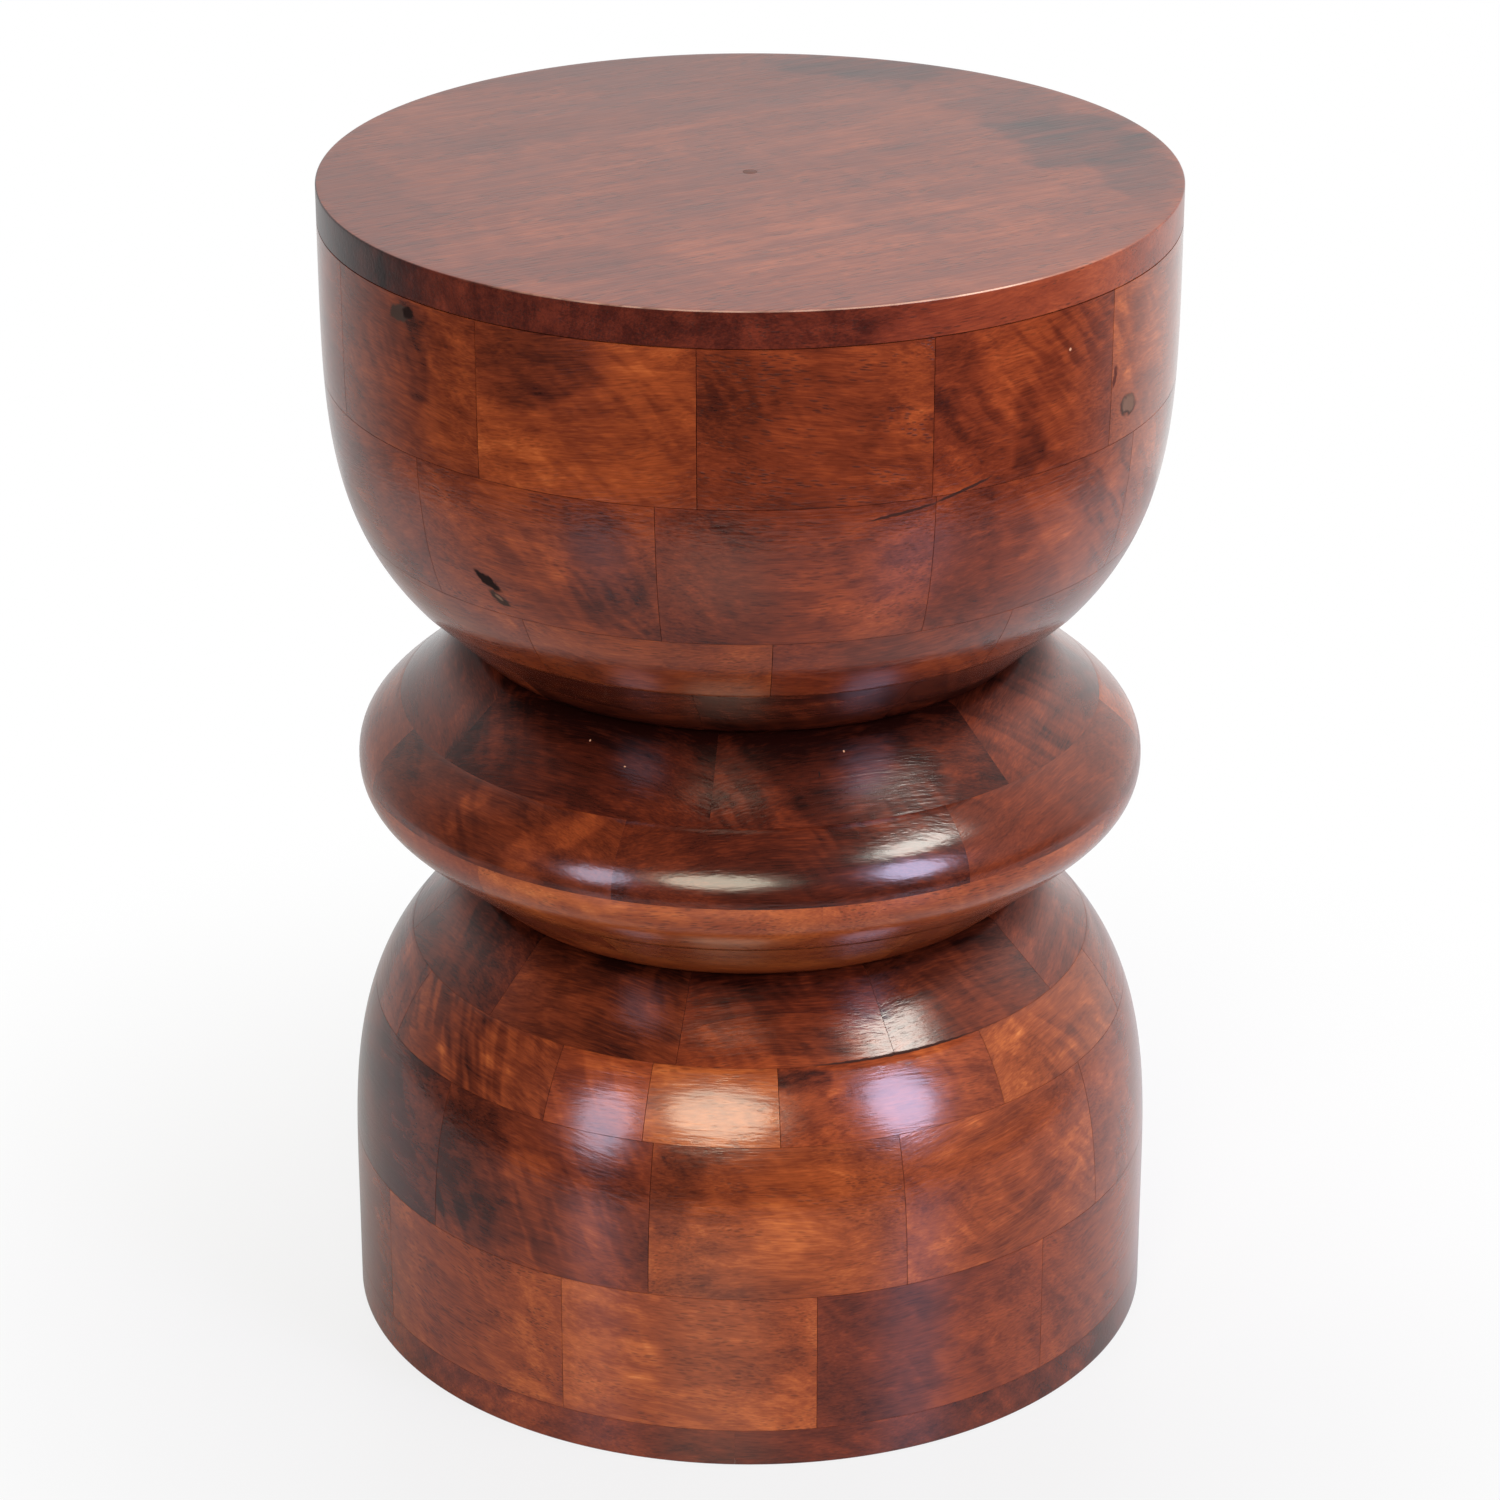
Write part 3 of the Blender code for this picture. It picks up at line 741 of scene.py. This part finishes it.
def plain_board():
    """A board drawn by chance, for blocks that the photograph doesn't show well."""
    light, warm = draws.gauss(*CHANCE_LIGHT), draws.uniform(*CHANCE_WARM)
    areas = [(*(draws.uniform(*limits) for limits in AREA_RANGES), draws.choice(AREA_GAINS))
             for _ in range(draws.choice(AREA_COUNTS))]
    return Board(light, warm, draws.uniform(*CHANCE_RIPPLE), draws.uniform(*CHANCE_PORES),
                 draws.gauss(*CHANCE_SLOPE), areas)


def board_for(name):
    """The board that the photograph shows, or else one by chance, which is drawn in any case."""
    by_chance = plain_board()
    return LAID_BOARDS.get(name, by_chance)


def laid_shade(across, up, half_length, half_height, areas, ragged=1.0):
    """Light and dark areas of a board, with ragged edges."""
    shade = np.zeros(len(across))
    if not areas:
        return shade
    drift = np.zeros((len(across), 2))
    for (along, upward), layer, push in AREA_DRIFTS:
        for i, (u, w) in enumerate(zip(across, up)):
            drift[i] += noise.noise_vector(Vector((u * along, w * upward, layer))).xy * (push * ragged)
    for area_across, area_up, wide, tall, turn, gain in areas:
        du = across + drift[:, 0] - area_across * half_length
        dw = up + drift[:, 1] - area_up * half_height
        c, s = math.cos(math.radians(turn)), math.sin(math.radians(turn))
        a = np.abs(c * du + s * dw) / (wide * half_length)
        b = np.abs(c * dw - s * du) / (tall * half_height)
        distance = (a ** AREA_SQUARE + b ** AREA_SQUARE) ** (1 / AREA_SQUARE)
        edge = np.clip((AREA_END - distance) / AREA_FADE, 0, 1)
        shade += gain * edge * edge * (3 - 2 * edge)
    return shade


def painted_neck_shade(heights):
    """Painted shade, darkest at the two V necks and fading within a short reach of them."""
    shade = np.zeros(len(heights))
    for neck in NECKS:
        shade -= NECK_PAINTED_SHADE * np.clip(1 - np.abs(heights - neck) / NECK_PAINTED_SHADE_REACH, 0, 1)
    return shade


def corners_of(mesh):
    corners = np.empty(len(mesh.vertices) * 3, np.float32)
    mesh.vertices.foreach_get("co", corners)
    return corners.reshape(-1, 3).astype(float)


def board_places(mesh, middle, centre_height):
    """Places in a board's own directions: along its face, outward and up from its middle."""
    corners = corners_of(mesh)
    outward = np.array((math.cos(middle), math.sin(middle), 0.0))
    along = np.array((-math.sin(middle), math.cos(middle), 0.0))
    return corners @ along, corners @ outward, corners[:, 2] - centre_height


def attribute(mesh, name, kind, values):
    channel = "vector" if kind == "FLOAT_VECTOR" else "value"
    made = mesh.attributes.new(name, kind, "POINT")
    made.data.foreach_set(channel, np.ascontiguousarray(values, np.float32).ravel())


def lay_grain(mesh, places, shade, board, lift=0.0):
    """Gives a board its own wood: coordinates from its pith, its tone and figure, and light or dark areas."""
    u, v, w = places
    count = len(mesh.vertices)
    c, s = math.cos(math.radians(board.slope)), math.sin(math.radians(board.slope))
    pith_out, pith_up = draws.uniform(*PITH_OUT), draws.uniform(*PITH_UP)
    tilt = draws.uniform(*GRAIN_TILT)
    shift = draws.uniform(*GRAIN_SHIFT)
    grain = np.stack((c * u + s * w + shift, v - pith_out, c * w - s * u - pith_up + tilt * u), 1)
    tone = np.tile((board.light, board.warm, 0.0), (count, 1))
    tone[:, 0] += lift
    attribute(mesh, "grain", "FLOAT_VECTOR", grain)
    attribute(mesh, "tone", "FLOAT_VECTOR", tone)
    attribute(mesh, "figure", "FLOAT_VECTOR", np.tile((board.ripple, board.pores, 0.0), (count, 1)))
    attribute(mesh, "shade", "FLOAT", shade)


def block_shares(ring):
    """Where each block of a ring starts and how far it goes around, in radians."""
    pitch = ring_pitch(ring)
    shares = [(ring_start(ring, i + 1), pitch) for i in range(ring.blocks)]
    if ring.name in EXTRA_JOINTS:
        start, pitch = shares.pop()
        extra = FRONT + math.radians(EXTRA_JOINTS[ring.name])
        shares += [(start, extra - start), (extra, start + pitch - extra)]
    return shares


def lay_block(name, ring, node, bm, start, pitch):
    """Finishes one sawn block as a piece with its own wood."""
    span = span_of(node)
    centre = centre_of(span)
    radius = np.interp(centre, OUTLINE_HEIGHTS, OUTLINE_RADII)
    piece = finish_piece(f"{name}_turned", bm, ring.slot, node)
    board = board_for(name)
    u, v, w = board_places(piece.data, start + pitch / 2, centre)
    shade = laid_shade(u, w, radius * math.sin(pitch / 2), (span.high - span.low) / 2, board.areas)
    # The board's light and dark areas, plus the painted shade at the necks
    lay_grain(piece.data, (u, v, w), shade + painted_neck_shade(w + centre), board)


def lay_ring(ring):
    """A course of wedge blocks, each its own piece."""
    joint = SEEN_JOINT * ring.line
    half_pitch = ring_pitch(ring) / 2
    for i, (start, pitch) in enumerate(block_shares(ring)):
        name = f"{ring.name}_{i + 1:02d}"
        node = ring.node or name
        span = span_of(node)
        drum = SEAT_RADIUS if span.low > SOLID_BOX[1][2] / 2 else FOOT_RADIUS
        inner_face = LOW_INNER_FACE if ring.node else drum - TALL_WALL
        middle = ring_start(ring, min(i + 1, ring.blocks)) + half_pitch
        facing = Vector((math.cos(middle), math.sin(middle), 0.0))
        inside = inner_face / math.cos(half_pitch) + GLUE_LINE
        plies = ((name, None),) if name != TWO_PLY else ((f"{name}_back_ply", -1), (f"{name}_front_ply", 1))
        for ply, side in plies:
            bm = wedge(closed_up(span, joint), start, pitch, joint, facing, inner_face)
            ease_outer_edges(bm, inside, ring.line)
            if side:
                keep_beyond(bm, facing, PLY_FACE + side * SEEN_JOINT / 2, side)
            lay_block(ply, ring, node, bm, start, pitch)


def dowel_boxes():
    return {name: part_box(name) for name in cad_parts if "dowel" in name}


def bored_core(ring, bores):
    """The inside of a glued course: a prism behind its blocks, with a blind hole for each dowel."""
    span = span_of(ring.node)
    from_above = bores and bores[0].z > span.low + GLUE_LINE
    bored, plain = (span.high, span.low) if from_above else (span.low, span.high)
    inward = math.copysign(1.0, plain - bored)
    corner = (LOW_INNER_FACE - SEEN_JOINT) / math.cos(ring_pitch(ring) / 2)
    turn = Matrix.Rotation(ring_start(ring, 1) - math.pi / 2, 4, "Z")
    bm = bmesh.new()

    def loop(segments, radius, place):
        made = bmesh.ops.create_circle(bm, segments=segments, radius=radius, matrix=place)["verts"]
        return list({e for v in made for e in v.link_edges})

    def wall(edges, depth):
        made = bmesh.ops.extrude_edge_only(bm, edges=edges)["geom"]
        bmesh.ops.translate(bm, verts=[g for g in made if isinstance(g, bmesh.types.BMVert)], vec=(0, 0, depth))
        bmesh.ops.holes_fill(bm, edges=[g for g in made if isinstance(g, bmesh.types.BMEdge)])

    outline = loop(ring.blocks, corner, Matrix.Translation((0, 0, bored)) @ turn)
    holes = [loop(DOWEL_SIDES, BORE_RADIUS, Matrix.Translation((b.x, b.y, bored))) for b in bores]
    bmesh.ops.triangle_fill(bm, edges=[*outline, *(e for hole in holes for e in hole)], use_beauty=True,
                            normal=(0, 0, 1))
    wall(outline, plain - bored)
    for hole in holes:
        wall(hole, inward * BORE_DEPTH)
    return bm


def lay_core(ring):
    """Finishes the inside of a low course as a piece with its own wood."""
    span = span_of(ring.node)
    bores = [Vector(((low.x + high.x) / 2, (low.y + high.y) / 2, level))
             for low, high in dowel_boxes().values() for level in span
             if low.z < level - GLUE_LINE and level + GLUE_LINE < high.z]
    name = ring.node.replace("disc", "core")
    piece = finish_piece(f"{name}_bored", bored_core(ring, bores), ring.slot, ring.node)
    places = board_places(piece.data, FRONT, centre_of(span))
    lay_grain(piece.data, places, np.zeros(len(piece.data.vertices)), board_for(name))


# The seat's board, its light and dark areas in shares of its radius (to the right and to the back), the tones
# of its edge around it in degrees from the front, partly the board's own and partly painted light and shade,
# lighter to the right and darker to the front left, and where that edge is worn
SEAT_GRAIN_TURN = math.radians(30)
SEAT_PITH = 0.5
SEAT_STRETCH = 0.8
SEAT_RAGGED = 2.2
SEAT_BOARD = Board(0.67, -0.6, 0.2, 1.2, 0, (
    (0.76, 0.28, 0.16, 0.22, 20, -0.26), (0.90, 0.02, 0.08, 0.30, 0, -0.16),
    (0.30, 0.86, 0.22, 0.10, -10, -0.22), (0.62, 0.52, 0.14, 0.14, 30, -0.14),
    (-0.86, -0.25, 0.10, 0.40, 15, -0.10), (-0.45, -0.70, 0.28, 0.10, 25, -0.10),
    (0.05, -0.05, 0.50, 0.14, 30, -0.05), (-0.30, 0.45, 0.60, 0.10, 30, -0.07),
    (0.25, -0.45, 0.50, 0.14, 30, 0.06), (0.05, 0.90, 0.90, 0.24, 0, -0.08)))
SEAT_EDGE_TONES_WITH_PAINTED_LIGHT = (
    (-180, -0.15), (-90, -0.46), (-60, -0.60), (-47, -0.44), (-42, -0.30), (-37, -0.42), (0, -0.40),
    (14, -0.36), (22, -0.18), (40, -0.05), (70, -0.05), (90, -0.12), (180, -0.15))
WORN_EDGE = ((-40, 0.0), (-20, 0.45), (18, 0.55), (22, 1.0), (34, 1.0), (40, 0.3), (70, 0.0))
WORN_FROM = 0.7 * SEAT_EDGE
WORN_TO = 0.02 * SEAT_EDGE


def lay_seat():
    """The seat's disc, with its hole, and the plug in it."""
    span = span_of("seat_disc")
    plug_low, plug_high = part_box("seat_centre_plug")
    plug_radius = (plug_high.x - plug_low.x) / 2
    hole = plug_radius + SEEN_JOINT / 2
    hole_floor = plug_low.z - GLUE_LINE
    points = [Vector((0.0, 0.0, span.low)), Vector((SEAT_RADIUS - EASED_EDGE, 0.0, span.low))]
    points += upright_line(SEAT_RADIUS, span.low + EASED_EDGE, span.high - SEAT_EDGE)[:-1]
    points += rounded_corner(SEAT_RADIUS, span.high, SEAT_EDGE, 1)
    points += [Vector((r, 0.0, span.high)) for r in np.linspace(SEAT_RADIUS - SEAT_EDGE, hole, SEAT_RINGS)][1:]
    points += [Vector((hole, 0.0, hole_floor)), Vector((0.0, 0.0, hole_floor))]
    seat = finish_piece("seat_disc_turned", turned_disc(points), "seat_wood", "seat_disc")

    x, y, z = corners_of(seat.data).T
    around = np.degrees(np.arctan2(x, -y))
    on_top = z > span.high - EASED_EDGE
    on_corner = (z > span.high - WORN_FROM) & (z < span.high - WORN_TO)
    areas = laid_shade(x, y, SEAT_RADIUS, SEAT_RADIUS, SEAT_BOARD.areas, SEAT_RAGGED)
    # Edge tones, partly painted light and shade: lighter to the right, darker to the front left
    edge_tones_with_painted_light = np.interp(around, *zip(*SEAT_EDGE_TONES_WITH_PAINTED_LIGHT))
    u, v, w = board_places(seat.data, FRONT + SEAT_GRAIN_TURN, centre_of(span))
    lay_grain(seat.data, (u * SEAT_STRETCH, v + SEAT_PITH, w), np.where(on_top, areas, 0.0), SEAT_BOARD,
              np.where(on_top, 0.0, edge_tones_with_painted_light))
    attribute(seat.data, "worn", "FLOAT", np.where(on_corner, np.interp(around, *zip(*WORN_EDGE)), 0.0))

    points = [Vector((0.0, 0.0, plug_low.z)), Vector((plug_radius, 0.0, plug_low.z))]
    points += rounded_corner(plug_radius, plug_high.z, EASED_EDGE, 1) + [Vector((0.0, 0.0, plug_high.z))]
    plug = finish_piece("seat_centre_plug_pressed", turned_disc(points), "filler", "seat_centre_plug")
    return seat, plug


def lay_base(name, side, joint):
    """One of the two boards below the foot, a half disc."""
    span = span_of(name)
    points = [Vector((0.0, 0.0, span.low))]
    points += reversed(rounded_corner(FOOT_RADIUS, span.low, SEAT_EDGE, -1))
    points += upright_line(FOOT_RADIUS, span.low + SEAT_EDGE, span.high)[1:]
    points += [Vector((0.0, 0.0, span.high))]
    bm = turned_disc(points)
    keep_beyond(bm, X_AXIS, joint + side * BASE_JOINT / 2, side)
    piece = finish_piece(f"{name}_turned", bm, "base_wood", name)
    board = board_for(name)
    u, v, w = board_places(piece.data, FRONT, centre_of(span))
    shade = laid_shade(u, w, FOOT_RADIUS, (span.high - span.low) / 2, board.areas)
    lay_grain(piece.data, (u, v, w), shade, board)


def lay_dowels():
    """Straight pins with bevelled ends, standing in the necks' holes."""
    for name, (low, high) in dowel_boxes().items():
        radius = (high.x - low.x) / 2
        points = [Vector((r, 0.0, z)) for r, z in (
            (0.0, low.z), (radius - DOWEL_BEVEL, low.z), (radius, low.z + DOWEL_BEVEL),
            (radius, high.z - DOWEL_BEVEL), (radius - DOWEL_BEVEL, high.z), (0.0, high.z))]
        bm = turned_disc(points, DOWEL_SIDES)
        bmesh.ops.translate(bm, verts=bm.verts, vec=((low.x + high.x) / 2, (low.y + high.y) / 2, 0.0))
        finish_piece(f"{name}_turned", bm, "dowel_wood", name)


# Surroundings: white behind and greyer to its left, pale to the right, and a dim room in front
BEHIND = (-0.05, 0.75)
BEHIND_LEFT_TO_RIGHT = (-0.8, 0.5, 0.55, 1.0)
RIGHT_SIDE = (0.3, 1.0, 0.0, 0.40)
RIGHT_SIDE_UP = (-0.25, 0.05)
ROOM_LEVEL = 0.035

# Floor: grey paper, darker in front, that looks white to the camera away from the stool
FLOOR_RADIUS = 0.8
FLOOR_SIDES = 96
FLOOR_DROP = 0.0002
FLOOR_ROUGHNESS = 0.32
FLOOR_TONES = ((0.0, (0.28, 0.28, 0.28)), (1.0, (0.68, 0.68, 0.68)))
FLOOR_TONE_PLACES = (-0.25, 0.15)
FLOOR_WHITE = (0.15, 0.45, 0.80, 1.0)


def studio():
    """The world around the stool, plain white to the camera."""
    scene = bpy.context.scene
    scene.view_settings.view_transform = "Standard"
    world = bpy.data.worlds.new("white_room")
    scene.world = world
    r = Recipe(world)
    seen = r.node("ShaderNodeLightPath").outputs["Is Camera Ray"]
    x, y, z = r.split(r.node("ShaderNodeTexCoord").outputs["Generated"])
    behind = r.sum("MULTIPLY", r.ramp(y, *BEHIND), r.ramp(x, *BEHIND_LEFT_TO_RIGHT))
    right = r.sum("MULTIPLY", r.ramp(x, *RIGHT_SIDE), r.ramp(z, *RIGHT_SIDE_UP))
    level = r.sum("ADD", r.sum("ADD", behind, right), ROOM_LEVEL)
    level = r.sum("MAXIMUM", r.sum("MINIMUM", level, 1.0), seen)
    background = r.node("ShaderNodeBackground")
    background.inputs["Color"].default_value = (1.0, 1.0, 1.0, 1.0)
    r.feed(background.inputs["Strength"], level)
    r.surface(background, "ShaderNodeOutputWorld")


def floor():
    bm = bmesh.new()
    bmesh.ops.create_circle(bm, cap_ends=True, segments=FLOOR_SIDES, radius=FLOOR_RADIUS,
                            matrix=Matrix.Translation((0, 0, -FLOOR_DROP)))
    mesh = bpy.data.meshes.new("floor")
    bm.to_mesh(mesh)
    bm.free()
    piece = bpy.data.objects.new("floor", mesh)
    bpy.context.scene.collection.objects.link(piece)
    r = Recipe(bpy.data.materials.new("white_paper"))
    seen = r.node("ShaderNodeLightPath").outputs["Is Camera Ray"]
    place = r.place()
    away = r.vector("LENGTH", place, output="Value")
    paper = r.node("ShaderNodeBsdfPrincipled")
    paper.inputs["Roughness"].default_value = FLOOR_ROUGHNESS
    back = r.split(place)[1]
    r.feed(paper.inputs["Base Color"], r.tones(r.ramp(back, *FLOOR_TONE_PLACES), FLOOR_TONES))
    white = r.node("ShaderNodeEmission")
    white.inputs["Strength"].default_value = 1.0
    mix = r.node("ShaderNodeMixShader")
    r.feed(mix.inputs[0], r.sum("MULTIPLY", seen, r.ramp(away, *FLOOR_WHITE)))
    r.tree.links.new(paper.outputs[0], mix.inputs[1])
    r.tree.links.new(white.outputs[0], mix.inputs[2])
    r.surface(mix, "ShaderNodeOutputMaterial")
    mesh.materials.append(r.owner)


# Lamps around the stool: degrees to the right of the front and up, width and height in degrees, level, colour
Panel = namedtuple("Panel", "name azimuth elevation wide tall level colour")
WINDOWS = (
    Panel("left_window_warm", -9, 26, 28, 25, 11.0, (1.0, 0.93, 0.74)),
    Panel("left_window_cool", -42, 15, 15, 28, 9.0, (0.78, 0.76, 1.0)),
    Panel("right_window_cool", 46, 22, 18, 30, 15.5, (0.72, 0.68, 1.0)),
    Panel("right_window_warm", 62, 51, 21, 11, 18.0, (1.0, 0.98, 0.90)),
)
FILLS = (
    Panel("right_fill", 80, 30, 60, 60, 1.1, (1.0, 1.0, 1.0)),
    Panel("left_fill", -80, 12, 50, 60, 0.95, (1.0, 1.0, 1.0)),
    Panel("front_fill", 12, 30, 60, 50, 0.6, (1.0, 1.0, 1.0)),
)
HALO_SIZE = 1.5
HALO_LEVEL = 0.10
PANEL_DISTANCE = 1.7
PANEL_TARGET = Vector((0.0, 0.0, 0.2))


def light_panel(panel, mirrored, receivers=None):
    """An oval lamp that gives its level at any size, and that glossy surfaces mirror or not."""
    light = bpy.data.lights.new(panel.name, "AREA")
    light.shape = "ELLIPSE"
    light.size = 2 * PANEL_DISTANCE * math.tan(math.radians(panel.wide / 2))
    light.size_y = 2 * PANEL_DISTANCE * math.tan(math.radians(panel.tall / 2))
    light.energy = panel.level * math.pi * (math.pi / 4 * light.size * light.size_y)
    light.color = panel.colour
    lamp = bpy.data.objects.new(panel.name, light)
    turn, lift = math.radians(panel.azimuth), math.radians(panel.elevation)
    towards = Vector((math.cos(lift) * math.sin(turn), -math.cos(lift) * math.cos(turn), math.sin(lift)))
    lamp.location = PANEL_TARGET + towards * PANEL_DISTANCE
    lamp.rotation_euler = towards.to_track_quat("Z", "Y").to_euler()
    lamp.visible_camera = False
    lamp.visible_glossy = mirrored
    lamp.light_linking.receiver_collection = receivers
    bpy.context.scene.collection.objects.link(lamp)


def light_panels(seat_pieces):
    """Windows with a dim halo, which the lacquer mirrors, and soft fills, which it doesn't.

    The flat seat would mirror a whole window towards the far side and turn white, so it has windows of its own
    that only light it."""
    seat_alone = bpy.data.collections.new("seat_alone")
    all_but_seat = bpy.data.collections.new("all_but_seat")
    for piece in seat_pieces:
        seat_alone.objects.link(piece)
        all_but_seat.objects.link(piece)
    for member in all_but_seat.collection_objects:
        member.light_linking.link_state = "EXCLUDE"
    for window in WINDOWS:
        halo = window._replace(name=f"{window.name}_halo", wide=window.wide * HALO_SIZE,
                               tall=window.tall * HALO_SIZE, level=window.level * HALO_LEVEL)
        both = window._replace(name=f"{window.name}_on_seat",
                               level=window.level * (1 + HALO_LEVEL * HALO_SIZE ** 2))
        light_panel(window, True, all_but_seat)
        light_panel(halo, True, all_but_seat)
        light_panel(both, False, seat_alone)
    for fill in FILLS:
        light_panel(fill, False)


# The photograph's camera
CAMERA_LENS = 117.8
CAMERA_SENSOR = 36.0
CAMERA_PLACE = (0.0, -1.633, 0.9324)
CAMERA_TILT = math.radians(66.18)


def camera():
    lens = bpy.data.cameras.new("camera")
    lens.lens = CAMERA_LENS
    lens.sensor_width = CAMERA_SENSOR
    view = bpy.data.objects.new("camera", lens)
    view.location = CAMERA_PLACE
    view.rotation_euler = (CAMERA_TILT, 0.0, 0.0)
    bpy.context.scene.collection.objects.link(view)
    bpy.context.scene.camera = view


for ring in RINGS:
    lay_ring(ring)
seat_pieces = lay_seat()
base_joint = (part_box("base_board_left")[1].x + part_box("base_board_right")[0].x) / 2
lay_base("base_board_left", -1, base_joint)
lay_base("base_board_right", 1, base_joint)
lay_dowels()
for ring in RINGS:
    if ring.node:
        lay_core(ring)
floor()
studio()
light_panels(seat_pieces)
camera()
